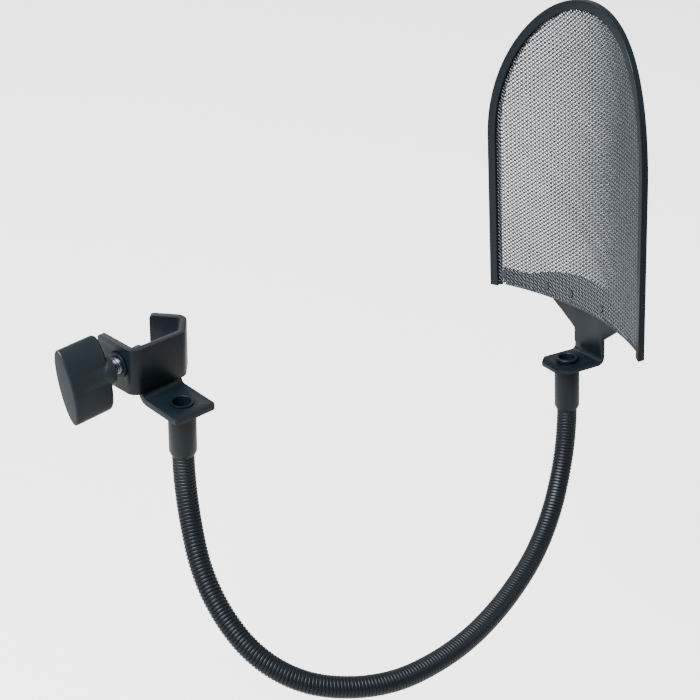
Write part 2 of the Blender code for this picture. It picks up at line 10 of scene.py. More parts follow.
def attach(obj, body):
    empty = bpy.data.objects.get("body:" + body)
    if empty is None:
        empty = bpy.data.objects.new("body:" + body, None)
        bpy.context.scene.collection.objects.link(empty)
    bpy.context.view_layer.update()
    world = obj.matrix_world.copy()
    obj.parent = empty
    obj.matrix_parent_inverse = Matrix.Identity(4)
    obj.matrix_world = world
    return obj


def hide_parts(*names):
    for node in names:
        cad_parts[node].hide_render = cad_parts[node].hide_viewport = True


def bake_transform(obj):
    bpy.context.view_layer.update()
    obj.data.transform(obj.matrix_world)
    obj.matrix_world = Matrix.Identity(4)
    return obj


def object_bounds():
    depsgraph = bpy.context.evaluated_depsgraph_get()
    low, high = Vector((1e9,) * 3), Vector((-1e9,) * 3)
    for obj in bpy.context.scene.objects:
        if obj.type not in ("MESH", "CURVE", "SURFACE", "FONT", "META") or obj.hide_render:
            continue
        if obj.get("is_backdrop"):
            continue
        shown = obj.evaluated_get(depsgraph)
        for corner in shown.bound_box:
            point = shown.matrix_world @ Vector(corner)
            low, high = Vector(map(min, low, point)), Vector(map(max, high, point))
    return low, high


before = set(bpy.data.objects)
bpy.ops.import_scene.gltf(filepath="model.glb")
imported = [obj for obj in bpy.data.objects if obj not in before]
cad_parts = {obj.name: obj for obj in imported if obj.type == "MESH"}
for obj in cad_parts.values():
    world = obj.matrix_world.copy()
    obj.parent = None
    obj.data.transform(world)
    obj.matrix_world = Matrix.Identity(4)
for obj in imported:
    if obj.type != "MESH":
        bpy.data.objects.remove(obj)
cad_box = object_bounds()

# Clamp bracket: one flat steel bar, bent cold round the tube's place, with a tab bent out below its web.
# Powder coated after bending, so every edge carries a small soft radius of paint.

BRACKET_EDGE = 0.00045
COAT_GRAIN_MM = 0.9  # the orange peel of a sprayed powder
SHARP = radians(35)


def linear(hex_colour):
    """A hex sRGB colour as linear RGBA."""
    values = [int(hex_colour[i : i + 2], 16) / 255 for i in (1, 3, 5)]
    return [v / 12.92 if v <= 0.04045 else ((v + 0.055) / 1.055) ** 2.4 for v in values] + [1.0]


def add_node(tree, kind, inputs=None, **settings):
    """A node with its settings. Each input takes a value, or the socket that feeds it."""
    node = tree.nodes.new(kind)
    for key, value in settings.items():
        setattr(node, key, value)
    for key, value in (inputs or {}).items():
        if isinstance(value, bpy.types.NodeSocket):
            tree.links.new(value, node.inputs[key])
        else:
            node.inputs[key].default_value = value
    return node


def finish(name, colour, roughness, grain_mm, depth, metallic=0.0, gloss=0.5, mottle=0.0):
    """A finish with a fine grain: grain_mm across, depth of its bump in metres, mottle in roughness."""
    made = bpy.data.materials.new(name)
    made.use_nodes = True
    tree = made.node_tree
    shader = tree.nodes["Principled BSDF"]
    shader.inputs["Base Color"].default_value = linear(colour)
    shader.inputs["Roughness"].default_value = roughness
    shader.inputs["Metallic"].default_value = metallic
    shader.inputs["Specular IOR Level"].default_value = gloss
    place = add_node(tree, "ShaderNodeTexCoord").outputs["Object"]
    grain = add_node(tree, "ShaderNodeTexNoise", {"Vector": place, "Scale": 1000 / grain_mm, "Detail": 2.0})
    bump = add_node(
        tree, "ShaderNodeBump", {"Height": grain.outputs["Fac"], "Distance": depth, "Strength": 1.0}
    )
    tree.links.new(bump.outputs["Normal"], shader.inputs["Normal"])
    if mottle:
        spread = add_node(
            tree,
            "ShaderNodeMapRange",
            {"Value": grain.outputs["Fac"], "To Min": roughness - mottle, "To Max": roughness + mottle},
        )
        tree.links.new(spread.outputs["Result"], shader.inputs["Roughness"])
    return made


def show(name, mesh, look, body, slot, *nodes):
    """Links a mesh with its finish, and lets it move with its CAD body in place of its CAD nodes."""
    mesh.materials.clear()
    mesh.materials.append(look)
    obj = bpy.data.objects.new(name, mesh)
    bpy.context.scene.collection.objects.link(obj)
    if body:
        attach(obj, body)
    if nodes:
        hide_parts(*nodes)
    return obj


def baked(mesh, *modifiers):
    """The mesh after its modifiers, each given as (kind, settings)."""
    holder = bpy.data.objects.new("holder", mesh)
    bpy.context.scene.collection.objects.link(holder)
    for kind, settings in modifiers:
        modifier = holder.modifiers.new(kind.title(), kind)
        for key, value in settings.items():
            setattr(modifier, key, value)
    graph = bpy.context.evaluated_depsgraph_get()
    made = bpy.data.meshes.new_from_object(holder.evaluated_get(graph))
    bpy.data.objects.remove(holder)
    return made


def eased_copy(node, edge):
    """A copy of a CAD node's mesh, merged, with its flat faces joined and its sharp edges eased."""
    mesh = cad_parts[node].data.copy()
    made = bmesh.new()
    made.from_mesh(mesh)
    bmesh.ops.remove_doubles(made, verts=made.verts, dist=2e-6)
    bmesh.ops.dissolve_limit(made, angle_limit=radians(0.6), verts=made.verts, edges=made.edges)
    made.to_mesh(mesh)
    made.free()
    mesh.shade_smooth()
    easing = {
        "width": edge,
        "segments": 3,
        "limit_method": "ANGLE",
        "angle_limit": SHARP,
        "harden_normals": True,
    }
    return baked(mesh, ("BEVEL", easing))


# The eye sees a satin blue-black, with soft highlights that its orange peel breaks up a little.
powder_coat = finish(
    "satin_powder_coat", "#060E14", 0.38, COAT_GRAIN_MM, 0.000012, mottle=0.04, gloss=0.22
)
bracket_mesh = eased_copy("clamp_bracket", BRACKET_EDGE)
show("bracket", bracket_mesh, powder_coat, "clamp", "powder_coat", "clamp_bracket")

# Nut: a threaded boss pressed into the leg's hole, turned from steel and coated together with the bar.
# Its collar stands outside the leg and its small lip is spread over on the inside.

BAR_THICKNESS = 0.0030
LEG_SPLAY = radians(4)
LEG_FACE = -0.0241  # leg's outer face, along the screw from the tube's middle
NUT_BORE = 0.00405
NUT_SPIGOT = 0.0048
NUT_RADIUS = 0.0060
NUT_COLLAR = 0.0010
NUT_LIP = 0.0008
NUT_LIP_RADIUS = 0.0052
NUT_EDGE = 0.0002
SEAT = 0.0003  # clearance between pieces that touch
SCREW_HEIGHT = 0.0015  # above the middle of the bar
along_screw = Matrix.Rotation(LEG_SPLAY, 4, "Z") @ Matrix.Rotation(pi / 2, 4, "Y")
screw_axis = Matrix.Translation((0, 0, SCREW_HEIGHT)) @ along_screw


def rounded(points, radius, closed=True, steps=3):
    """A flat outline with each corner eased to that radius, where the corner's sides have room."""
    made = []
    points = [Vector(p) for p in points]
    for i, corner in enumerate(points):
        if not closed and i in (0, len(points) - 1):
            made.append(corner)
            continue
        before, after = points[i - 1] - corner, points[(i + 1) % len(points)] - corner
        opening = before.angle(after)
        reach = radius / tan(opening / 2)
        if opening > radians(150) or reach > 0.5 * min(before.length, after.length):
            made.append(corner)
            continue
        start, end = corner + before.normalized() * reach, corner + after.normalized() * reach
        for k in range(steps + 1):
            t = k / steps
            made.append(start * (1 - t) ** 2 + corner * 2 * t * (1 - t) + end * t**2)
    return made


def turned(profile, place, steps=64, closed=True):
    """A mesh turned about its own Z from (radius, height) points, then put in its place."""
    made = bmesh.new()
    rings = []
    for r, z in profile:
        if r < 1e-7:
            rings.append([made.verts.new((0, 0, z))] * steps)
            continue
        angles = [2 * pi * k / steps for k in range(steps)]
        rings.append([made.verts.new((r * cos(a), r * sin(a), z)) for a in angles])
    pairs = list(zip(rings, rings[1:])) + ([(rings[-1], rings[0])] if closed else [])
    for low, high in pairs:
        for k in range(steps):
            corners = [low[k], low[(k + 1) % steps], high[(k + 1) % steps], high[k]]
            corners = list(dict.fromkeys(corners))
            if len(corners) > 2:
                made.faces.new(corners)
    bmesh.ops.recalc_face_normals(made, faces=made.faces)
    made.transform(place)
    mesh = bpy.data.meshes.new("turned")
    made.to_mesh(mesh)
    made.free()
    mesh.shade_smooth()
    mesh.set_sharp_from_angle(angle=SHARP)
    return mesh


# Bright bluish zinc: small hard glints on the thread's crests, and dark in its grooves.
zinc_plate = finish("bright_zinc_plate", "#6C7077", 0.30, 0.25, 0.000002, metallic=1.0, mottle=0.06)
leg_inside = LEG_FACE + BAR_THICKNESS
nut_profile = [
    (NUT_BORE, leg_inside + SEAT + NUT_LIP),
    (NUT_LIP_RADIUS, leg_inside + SEAT + NUT_LIP),
    (NUT_LIP_RADIUS, leg_inside + SEAT),
    (NUT_SPIGOT, leg_inside + SEAT),
    (NUT_SPIGOT, LEG_FACE - SEAT),
    (NUT_RADIUS, LEG_FACE - SEAT),
    (NUT_RADIUS, LEG_FACE - SEAT - NUT_COLLAR),
    (NUT_BORE, LEG_FACE - SEAT - NUT_COLLAR),
]
nut_mesh = turned(rounded(nut_profile, NUT_EDGE), screw_axis)
show("nut", nut_mesh, powder_coat, "clamp", "powder_coat", "clamp_nut")

# Clamping screw: an M8 bolt with a rolled thread, zinc plated, pressed head first into the knob.
# A short plain pin on its tip carries the swivel pad.

THREAD_RADIUS = 0.0040
THREAD_PITCH = 0.00125
THREAD_DEPTH = 0.00067
RINGS_PER_TURN = 8
THREAD_INTO_KNOB = 0.0010
HUB_STANDOFF = 0.0060  # from the leg to the knob's hub
PAD_BACK = -0.0150
PIN_RADIUS = 0.0025
PIN_LENGTH = 0.0026
CORE_RADIUS = 0.0033  # under the thread
CORE_LENGTH = 0.0015  # between the pin and the thread's last turn
HEAD_FLATS = 0.0078
HEAD_HEIGHT = 0.0140
KNOB_LEAN = radians(16)  # how its oval happens to stand
hub_back = LEG_FACE - HUB_STANDOFF
knob_axis = screw_axis @ Matrix.Rotation(pi / 2 - KNOB_LEAN, 4, "Z")


def wound_tree():
    """A surface wound helically round a route: flat-topped turns with a groove between them."""
    tree = bpy.data.node_groups.new("wound_surface", "GeometryNodeTree")
    tree.interface.new_socket("Route", in_out="INPUT", socket_type="NodeSocketGeometry")
    for name, kind in (
        ("Radius", "NodeSocketFloat"),
        ("Pitch", "NodeSocketFloat"),
        ("Groove depth", "NodeSocketFloat"),
        ("Groove sharpness", "NodeSocketFloat"),
        ("Start", "NodeSocketFloat"),
        ("Length", "NodeSocketFloat"),
        ("Rings", "NodeSocketInt"),
        ("Sides", "NodeSocketInt"),
        ("Finish", "NodeSocketMaterial"),
    ):
        tree.interface.new_socket(name, in_out="INPUT", socket_type=kind)
    tree.interface.new_socket("Surface", in_out="OUTPUT", socket_type="NodeSocketGeometry")
    given = add_node(tree, "NodeGroupInput").outputs

    def sum_of(a, b):
        return add_node(tree, "ShaderNodeMath", {0: a, 1: b}, operation="ADD").outputs[0]

    def product(a, b):
        return add_node(tree, "ShaderNodeMath", {0: a, 1: b}, operation="MULTIPLY").outputs[0]

    around = sum_of(given["Sides"], 1)
    size = {"Size X": given["Length"], "Size Y": 2 * pi, "Vertices X": given["Rings"], "Vertices Y": around}
    grid = add_node(tree, "GeometryNodeMeshGrid", size).outputs["Mesh"]
    flat = add_node(
        tree, "ShaderNodeSeparateXYZ", {0: add_node(tree, "GeometryNodeInputPosition").outputs[0]}
    ).outputs
    angle = sum_of(flat["Y"], pi)
    along = sum_of(sum_of(flat["X"], product(given["Length"], 0.5)), given["Start"])
    turns = add_node(tree, "ShaderNodeMath", {0: along, 1: given["Pitch"]}, operation="DIVIDE").outputs[0]
    centred = sum_of(
        add_node(tree, "ShaderNodeMath", {0: sum_of(turns, 1e-4)}, operation="FRACT").outputs[0], -0.5
    )
    distance = add_node(tree, "ShaderNodeMath", {0: centred}, operation="ABSOLUTE").outputs[0]
    off_middle = product(distance, 2.0)
    groove = add_node(
        tree, "ShaderNodeMath", {0: off_middle, 1: given["Groove sharpness"]}, operation="POWER"
    ).outputs[0]
    depth = product(product(groove, given["Groove depth"]), -1.0)
    radius = sum_of(given["Radius"], depth)
    shifted = sum_of(along, product(product(angle, given["Pitch"]), 1 / (2 * pi)))
    route = add_node(tree, "GeometryNodeMeshToCurve", {"Mesh": given["Route"]}).outputs["Curve"]
    on_route = add_node(
        tree, "GeometryNodeSampleCurve", {"Curves": route, "Length": shifted}, mode="LENGTH"
    ).outputs
    side = add_node(
        tree,
        "ShaderNodeVectorMath",
        {0: on_route["Tangent"], 1: on_route["Normal"]},
        operation="CROSS_PRODUCT",
    ).outputs[0]
    parts = []
    for direction, turn in ((on_route["Normal"], "COSINE"), (side, "SINE")):
        share = product(add_node(tree, "ShaderNodeMath", {0: angle}, operation=turn).outputs[0], radius)
        parts.append(
            add_node(
                tree, "ShaderNodeVectorMath", {0: direction, "Scale": share}, operation="SCALE"
            ).outputs[0]
        )
    outward = add_node(tree, "ShaderNodeVectorMath", {0: parts[0], 1: parts[1]}).outputs[0]
    place = add_node(tree, "ShaderNodeVectorMath", {0: on_route["Position"], 1: outward}).outputs[0]
    laid = add_node(tree, "GeometryNodeSetPosition", {"Geometry": grid, "Position": place}).outputs[0]
    joined = add_node(tree, "GeometryNodeMergeByDistance", {"Geometry": laid, "Distance": 2e-6}).outputs[0]
    real = add_node(tree, "GeometryNodeRealizeInstances", {"Geometry": joined}).outputs[0]
    last = add_node(
        tree, "GeometryNodeSetMaterial", {"Geometry": real, "Material": given["Finish"]}
    ).outputs[0]
    add_node(tree, "NodeGroupOutput", {0: last})
    return tree


def grown(name, tree, inputs, host, place=None):
    """The plain mesh that a tree makes on a host mesh, moved to its place."""
    holder = bpy.data.objects.new(name, host)
    modifier = holder.modifiers.new("Grow", "NODES")
    modifier.node_group = tree
    sockets = {s.name: s.identifier for s in tree.interface.items_tree if s.in_out == "INPUT"}
    for key, value in inputs.items():
        modifier[sockets[key]] = value
    bpy.context.scene.collection.objects.link(holder)
    graph = bpy.context.evaluated_depsgraph_get()
    mesh = bpy.data.meshes.new_from_object(holder.evaluated_get(graph))
    bpy.data.objects.remove(holder)
    if place is not None:
        mesh.transform(place)
    return mesh


def capped(mesh):
    """Closes a tube's two ends and turns its faces outwards."""
    made = bmesh.new()
    made.from_mesh(mesh)
    bmesh.ops.holes_fill(made, edges=[e for e in made.edges if e.is_boundary], sides=0)
    bmesh.ops.recalc_face_normals(made, faces=made.faces)
    made.to_mesh(mesh)
    made.free()
    mesh.shade_smooth()
    mesh.set_sharp_from_angle(angle=radians(75))
    return mesh


def polyline(points):
    mesh = bpy.data.meshes.new("route")
    mesh.from_pydata(points, [(i, i + 1) for i in range(len(points) - 1)], [])
    return mesh


wound = wound_tree()
thread_start = hub_back - THREAD_INTO_KNOB
thread_turns = int((PAD_BACK - SEAT - thread_start) / THREAD_PITCH) - 1
thread = {
    "Radius": THREAD_RADIUS,
    "Pitch": THREAD_PITCH,
    "Groove depth": THREAD_DEPTH,
    "Groove sharpness": 1.3,
    "Start": 0.0,
    "Length": thread_turns * THREAD_PITCH,
    "Rings": thread_turns * RINGS_PER_TURN + 1,
    "Sides": 32,
    "Finish": zinc_plate,
}
axis_route = polyline([(0, 0, thread_start), (0, 0, thread_start + (thread_turns + 2) * THREAD_PITCH)])
thread_mesh = capped(grown("thread", wound, thread, axis_route, screw_axis))
show("screw_thread", thread_mesh, zinc_plate, "screw", "zinc_plate", "clamp_screw")
shank_end = PAD_BACK - SEAT
pin = [(0, shank_end + PIN_LENGTH), (PIN_RADIUS, shank_end + PIN_LENGTH), (PIN_RADIUS, shank_end)]
pin += [(CORE_RADIUS, shank_end), (CORE_RADIUS, shank_end - CORE_LENGTH), (0, shank_end - CORE_LENGTH)]
show("screw_pin", turned(pin, screw_axis, 32, False), zinc_plate, "screw", "zinc_plate")
head_corner = HEAD_FLATS / 2 / cos(pi / 6)
head = [(0, hub_back - SEAT), (head_corner, hub_back - SEAT)]
head += [(head_corner, hub_back - SEAT - HEAD_HEIGHT), (0, hub_back - SEAT - HEAD_HEIGHT)]
upright_knob = knob_axis @ Matrix.Rotation(pi / 2, 4, "Z")
show("screw_head", turned(head, upright_knob, 6, False), zinc_plate, "screw", "zinc_plate")

# Knob: an oval thumb knob, moulded in black ABS over the screw's hexagon end, with a round hub behind.
# Its front has a sharp small radius and its back a larger one, and its faces keep the mould's fine texture.

KNOB_HALF_LENGTH = 0.0170
KNOB_HALF_WIDTH = 0.0050
KNOB_BACK_HALF_WIDTH = 0.0058
KNOB_LENGTH = 0.0203
KNOB_FRONT_EDGE = 0.0010
KNOB_BACK_EDGE = 0.0025
HUB_RADIUS = 0.0072
HUB_LENGTH = 0.0019
HUB_TAPER = 0.0080
HUB_EDGE = 0.0005
HEAD_CLEARANCE = 0.0004
KNOB_SIDES = 96
EDGE_STEPS = 8


def skinned(sections, place):
    """A closed mesh through a row of sections, each a ring of as many points, with both ends filled."""
    made = bmesh.new()
    rings = [[made.verts.new(point) for point in section] for section in sections]
    for ring, following in zip(rings, rings[1:]):
        for k in range(len(ring)):
            j = (k + 1) % len(ring)
            made.faces.new((ring[k], ring[j], following[j], following[k]))
    made.faces.new(rings[0])
    made.faces.new(rings[-1])
    bmesh.ops.recalc_face_normals(made, faces=made.faces)
    made.transform(place)
    mesh = bpy.data.meshes.new("skinned")
    made.to_mesh(mesh)
    made.free()
    mesh.shade_smooth()
    mesh.set_sharp_from_angle(angle=SHARP)
    return mesh


# Matt black plastic with a slight sheen, a shade greyer than the coated steel beside it.
moulded_abs = finish("moulded_black_abs", "#0B141A", 0.42, 0.35, 0.000006, mottle=0.05, gloss=0.3)
blade_back = hub_back - HUB_LENGTH
blade_front = blade_back - KNOB_LENGTH
edge_turns = [pi / 2 * i / EDGE_STEPS for i in range(EDGE_STEPS + 1)]
edges = [(KNOB_FRONT_EDGE * (1 - sin(a)), blade_front + KNOB_FRONT_EDGE * (1 - cos(a))) for a in edge_turns]
edges += [(KNOB_BACK_EDGE * (1 - cos(a)), blade_back - KNOB_BACK_EDGE * (1 - sin(a))) for a in edge_turns]
around = [2 * pi * k / KNOB_SIDES for k in range(KNOB_SIDES)]
sections = []
for inset, height in edges:
    draft = (KNOB_BACK_HALF_WIDTH - KNOB_HALF_WIDTH) * (height - blade_front) / KNOB_LENGTH
    wide, long = KNOB_HALF_WIDTH + draft - inset, KNOB_HALF_LENGTH - inset
    sections.append([(wide * cos(a), long * sin(a), height) for a in around])
knob_mesh = skinned(sections, knob_axis)
hub = [(0, hub_back), (HUB_RADIUS - HUB_EDGE, hub_back), (HUB_RADIUS, hub_back - HUB_EDGE)]
swell = [(i / EDGE_STEPS, (1 - cos(pi * i / EDGE_STEPS)) / 2) for i in range(EDGE_STEPS + 1)]
narrow = HUB_RADIUS - KNOB_HALF_WIDTH + SEAT
hub += [(HUB_RADIUS - narrow * drop, blade_back - HUB_TAPER * t) for t, drop in swell]
hub += [(0, blade_back - HUB_TAPER)]
pocket_corner = (HEAD_FLATS / 2 + HEAD_CLEARANCE) / cos(pi / 6)
pocket_floor = hub_back - HEAD_HEIGHT - 2 * SEAT
pocket = [(0, hub_back + SEAT), (pocket_corner, hub_back + SEAT), (pocket_corner, pocket_floor)]
pocket += [(0, pocket_floor)]
tools = []
for mesh in (turned(hub, screw_axis, KNOB_SIDES, False), turned(pocket, upright_knob, 6, False)):
    tools.append(bpy.data.objects.new("tool", mesh))
    bpy.context.scene.collection.objects.link(tools[-1])
bpy.context.view_layer.update()
joined = ("BOOLEAN", {"operation": "UNION", "object": tools[0], "solver": "EXACT"})
pocketed = ("BOOLEAN", {"operation": "DIFFERENCE", "object": tools[1], "solver": "EXACT"})
knob_mesh = baked(knob_mesh, joined, pocketed)
for tool in tools:
    bpy.data.objects.remove(tool)
knob_mesh.shade_smooth()
knob_mesh.set_sharp_from_angle(angle=SHARP)
show("knob", knob_mesh, moulded_abs, "screw", "moulded_plastic", "clamp_knob")

# Pressure pad: a small foot that swivels on the screw's pin and bears on the tube.
# Moulded in the knob's black ABS, so that it doesn't mark the tube, and snapped over the pin.

PAD_RADIUS = 0.0042
PAD_LENGTH = 0.0040
PAD_WALL = 0.0014
PAD_EDGE = 0.0004
pad_tip = PAD_BACK + PAD_LENGTH
pad = [(0, pad_tip), (PAD_RADIUS, pad_tip), (PAD_RADIUS, PAD_BACK), (PIN_RADIUS + SEAT, PAD_BACK)]
pad += [(PIN_RADIUS + SEAT, pad_tip - PAD_WALL), (0, pad_tip - PAD_WALL)]
pad_mesh = turned(rounded(pad, PAD_EDGE, False), screw_axis, closed=False)
show("pad", pad_mesh, moulded_abs, "pad", "moulded_plastic", "pressure_pad")

# Rivets and sleeves: each end of the gooseneck sits in a turned steel sleeve, coated with the rest.
# A tubular rivet comes through the tab into the sleeve, low on the clamp and taller on the shield.

FERRULE_RADIUS = 0.0062
FERRULE_LENGTH = 0.0222
FERRULE_CHAMFER = 0.0014
NECK_BORE = 0.0053
NECK_GRIP = 0.0170
RIVET_RADIUS = 0.0046
RIVET_WALL = 0.0005
RIVET_GRIP = 0.0025
CLAMP_RIVET_EDGE = 0.0052
CLAMP_RIVET_HEIGHT = 0.0008
CLAMP_RIVET_PLACE = (-0.008369, -0.0246, -0.0131)  # middle of the hole, on the tab's upper face
TURNED_EDGE = 0.0003
ROLLED_EDGE = 0.45  # radius of the rivet's rolled rim, as a share of its height or overhang
clamp_end = Matrix.Translation(CLAMP_RIVET_PLACE)


def ferrule(top, place):
    """A sleeve that hangs from this height: a wide bore for the gooseneck and a narrow one for the rivet."""
    bottom = top - FERRULE_LENGTH
    hole, shoulder = RIVET_RADIUS + SEAT, bottom + NECK_GRIP + SEAT
    profile = [(hole, top), (FERRULE_RADIUS, top), (FERRULE_RADIUS, bottom + FERRULE_CHAMFER)]
    profile += [(NECK_BORE + SEAT, bottom), (NECK_BORE, bottom), (NECK_BORE, shoulder), (hole, shoulder)]
    return turned(rounded(profile, TURNED_EDGE), place)


def rivet(edge, height, depth, place):
    """A tubular rivet with a rolled rim above its tab."""
    bore = RIVET_RADIUS - RIVET_WALL
    profile = [(bore, height), (edge, height), (edge, SEAT), (RIVET_RADIUS, SEAT)]
    profile += [(RIVET_RADIUS, -depth), (bore, -depth)]
    roll = ROLLED_EDGE * min(height, edge - RIVET_RADIUS)
    return turned(rounded(profile, roll, steps=5), place)


clamp_sleeve = ferrule(-BAR_THICKNESS - SEAT, clamp_end)
show("clamp_sleeve", clamp_sleeve, powder_coat, "clamp", "powder_coat", "clamp_ferrule")
clamp_rivet = rivet(CLAMP_RIVET_EDGE, CLAMP_RIVET_HEIGHT, BAR_THICKNESS + SEAT + RIVET_GRIP, clamp_end)
show("clamp_tube_rivet", clamp_rivet, powder_coat, "clamp", "powder_coat", "clamp_rivet")

# Gooseneck: one hollow neck wound from steel strip, whose turns slip on each other and hold their bend.
# It is coated like the rest, and drawn in lengths from mid-stretch to mid-stretch with a joint inside each;
# the middle lengths stay fixed in place, and only the two end lengths go with the clamp and the shield.

NECK_RADIUS = 0.0050
NECK_LENGTH = 0.3614
NECK_PITCH = 0.00165
NECK_GROOVE = 0.00055
GROOVE_SHARPNESS = 7.0  # high, for flat-topped turns with a thin groove between them
HIDDEN_TURNS = 4  # at each end, inside the sleeve
NECK_PLANE = radians(102.2)
NECK_BENDS = (-4.5, 22.1, 45.8, 29.3, 14.9, 12.9, 24.3, 28.1)
NECK_SIDE_BENDS = (36.6, 18.2, -0.7, -7.3, -5.1, 6.6, 17.6, 31.2)
ROUTE_STEPS = 16
stretch = NECK_LENGTH / len(NECK_BENDS)


def on_arc(bend, side_bend, share):
    """Frame part of the way along one stretch, which is an arc that leaves along +Z."""
    toward = Vector((radians(bend), radians(side_bend), 0.0)) * share
    angle = toward.length
    toward.normalize()
    radius = stretch * share / angle
    place = toward * (1 - cos(angle)) * radius + Vector((0, 0, sin(angle) * radius))
    return Matrix.Translation(place) @ Matrix.Rotation(angle, 4, Vector((0, 0, 1)).cross(toward))


heading = Matrix.Rotation(pi / 2 - NECK_PLANE, 4, "Z") @ Matrix.Rotation(pi, 4, "X")
neck_start = clamp_end @ Matrix.Translation((0, 0, -BAR_THICKNESS - SEAT - FERRULE_LENGTH)) @ heading
joints = [neck_start]
route = [neck_start @ Vector((0, 0, -NECK_GRIP)), neck_start.translation.copy()]
for bend, side_bend in zip(NECK_BENDS, NECK_SIDE_BENDS):
    for i in range(1, ROUTE_STEPS + 1):
        step = joints[-1] @ on_arc(bend, side_bend, i / ROUTE_STEPS)
        route.append(step.translation.copy())
    joints.append(step)
route.append(joints[-1] @ Vector((0, 0, NECK_GRIP)))

first = int(NECK_GRIP / NECK_PITCH) - HIDDEN_TURNS
middles = [round((NECK_GRIP + (k + 0.5) * stretch) / NECK_PITCH) for k in range(len(NECK_BENDS))]
last = int((NECK_GRIP + NECK_LENGTH) / NECK_PITCH) + HIDDEN_TURNS
bounds = [first] + middles + [last]
for k, (low, high) in enumerate(zip(bounds, bounds[1:])):
    turns = {
        "Radius": NECK_RADIUS,
        "Pitch": NECK_PITCH,
        "Groove depth": NECK_GROOVE,
        "Groove sharpness": GROOVE_SHARPNESS,
        "Start": low * NECK_PITCH,
        "Length": (high - low) * NECK_PITCH,
        "Rings": (high - low) * RINGS_PER_TURN + 1,
        "Sides": 32,
        "Finish": powder_coat,
    }
    mesh = capped(grown(f"neck_{k}", wound, turns, polyline(route)))
    name = f"gooseneck_skin_{k + 1}"
    if 0 < k < len(NECK_BENDS):
        obj = show(name, mesh, powder_coat, None, "powder_coat", f"gooseneck_{k}", f"gooseneck_{k + 1}")
        middle = joints[k].translation
        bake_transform(obj)
    else:
        body, nearest = ("clamp", 1) if k == 0 else ("shield", len(NECK_BENDS))
        show(name, mesh, powder_coat, body, "powder_coat", f"gooseneck_{nearest}")

# Shield's end of the gooseneck: the same turned sleeve, a thin steel washer, and the taller rivet.
# All three are coated with the bracket above them, and turn with the shield.

SHIELD_TURN = radians(103)
SHEET_THICKNESS = 0.0020
WASHER_THICKNESS = 0.0007
WASHER_RADIUS = 0.0064
SHIELD_RIVET_EDGE = 0.0057
SHIELD_RIVET_HEIGHT = 0.0020
stack = SHEET_THICKNESS + SEAT + WASHER_THICKNESS + SEAT
turn = Matrix.Rotation(SHIELD_TURN, 4, "Z")
shield_end = joints[-1] @ Matrix.Translation((0, 0, FERRULE_LENGTH + stack)) @ turn
show("shield_sleeve", ferrule(-stack, shield_end), powder_coat, "shield", "powder_coat", "shield_ferrule")
washer_top, washer_hole = -SHEET_THICKNESS - SEAT, RIVET_RADIUS + SEAT
washer = [(washer_hole, washer_top), (WASHER_RADIUS, washer_top)]
washer += [(WASHER_RADIUS, washer_top - WASHER_THICKNESS), (washer_hole, washer_top - WASHER_THICKNESS)]
washer_mesh = turned(rounded(washer, NUT_EDGE), shield_end)
show("washer", washer_mesh, powder_coat, "shield", "powder_coat", "shield_washer")
shield_rivet = rivet(SHIELD_RIVET_EDGE, SHIELD_RIVET_HEIGHT, stack + RIVET_GRIP, shield_end)
show("shield_tube_rivet", shield_rivet, powder_coat, "shield", "powder_coat", "shield_rivet")

# Shield bracket: tab, stem and fan cut from one steel sheet, with the fan rolled to the mesh's curve.
# The tab is bent square to it. Coated like the clamp, with the mesh spot welded to its fan.

SHEET_EDGE = 0.0004
fan_mesh = eased_copy("shield_bracket", SHEET_EDGE)
show("fan_bracket", fan_mesh, powder_coat, "shield", "powder_coat", "shield_bracket")

# Wire mesh: plain-woven steel wire cut on the bias, so that one set of wires rises and the other falls.
# Rolled to a cylinder, cut to an arch, and dip coated, which thickens the wires and fills their crossings.

PLATE_RADIUS = 0.1500
STEM_FROM_RIVET = 0.0124
WIRE_LAYER = 0.0008
RISING_STEP = (0.001279, 0.000885, 0.0)  # from crossing to crossing, along the wires that rise
FALLING_STEP = (0.001307, -0.001072, 0.0)
WIRE_DIAMETER = 0.00082
WEAVE_LIFT = 0.28  # how far a wire steps over or under, as a share of its diameter
MESH_BOTTOM = 0.0240
RIM_HALF_WIDTH = 0.0640
RIM_SPRING = 0.1026
RIM_RISE = 0.0734
RIM_WALL = 0.0010
MESH_RADIUS = PLATE_RADIUS - SEAT - WIRE_LAYER - SEAT - WIRE_LAYER / 2
WIRES = 135  # odd, and enough each way to cover the arch
# Dark coated wire with a wet gloss, so that it goes grey-blue where it is seen edge on to the light.
coated_wire = finish("dip_coated_wire", "#151D24", 0.36, 0.6, 0.000006, gloss=0.5)


def on_plan(arc_length):
    """Sideways place of a point that lies this far round the plate's curve."""
    return PLATE_RADIUS * sin(arc_length / PLATE_RADIUS)


